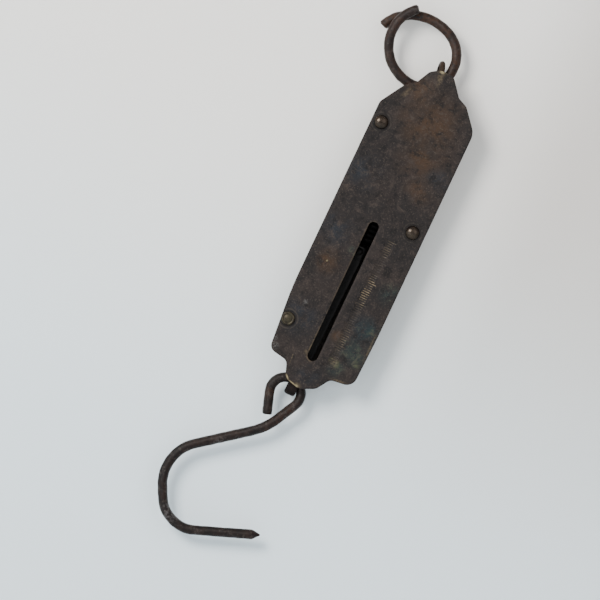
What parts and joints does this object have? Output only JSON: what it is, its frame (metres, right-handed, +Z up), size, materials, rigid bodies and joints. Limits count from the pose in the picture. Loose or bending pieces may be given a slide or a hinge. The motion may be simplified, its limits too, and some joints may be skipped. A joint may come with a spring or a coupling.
{
  "type": "hanging spring scale",
  "caption": "Flat brass-faced spring balance with an open hanging ring, a slotted graduated face, a sprung drawbar and an S-shaped load hook.",
  "frame": {"origin": "inside top of the hanging ring, where a nail or hook carries it, in the middle of the ring's wire", "axes": "+Z up along the graduated plate, +Y from the front face to the back, +X to the right seen from the front"},
  "size_m": [0.0592, 0.0172, 0.2433],
  "materials": {
    "brass_face": "dark brown patina with worn brass edges",
    "brass_rivet": "dark patina, rubbed heads",
    "sheet_iron": "dull oxidised sheet iron",
    "strap_iron": "dark oxidised strap",
    "spring_steel": "oiled, darkened spring wire",
    "wire_iron": "brown oxidised wire with small rust patches"
  },
  "bodies": {
    "casing": {"front_plate": "brass_face", "back_shell": "sheet_iron", "rivet_top": "brass_rivet", "rivet_middle": "brass_rivet", "rivet_bottom": "brass_rivet", "spring": "spring_steel"},
    "drawbar": {"drawbar": "strap_iron", "pointer": "strap_iron", "spring_pin": "strap_iron"},
    "ring": {"ring": "wire_iron"},
    "hook": {"s_hook": "wire_iron"}
  },
  "joints": [
    {"name": "ring_swing", "type": "hinge", "parent": "casing", "child": "ring", "pos_m": [0.01375, 0, -0.02211], "axis": [0, -1, 0], "range_deg": [-78, 10]},
    {"name": "drawbar_pull", "type": "slide", "parent": "casing", "child": "drawbar", "axis": [0, 0, -1], "range_m": [0, 0.05], "stiffness_N_per_m": 4570, "deforming": ["spring"]},
    {"name": "hook_swing", "type": "hinge", "parent": "drawbar", "child": "hook", "pos_m": [0.01155, 0, -0.16641], "axis": [0, -1, 0], "range_deg": [-60, 80]}
  ]
}
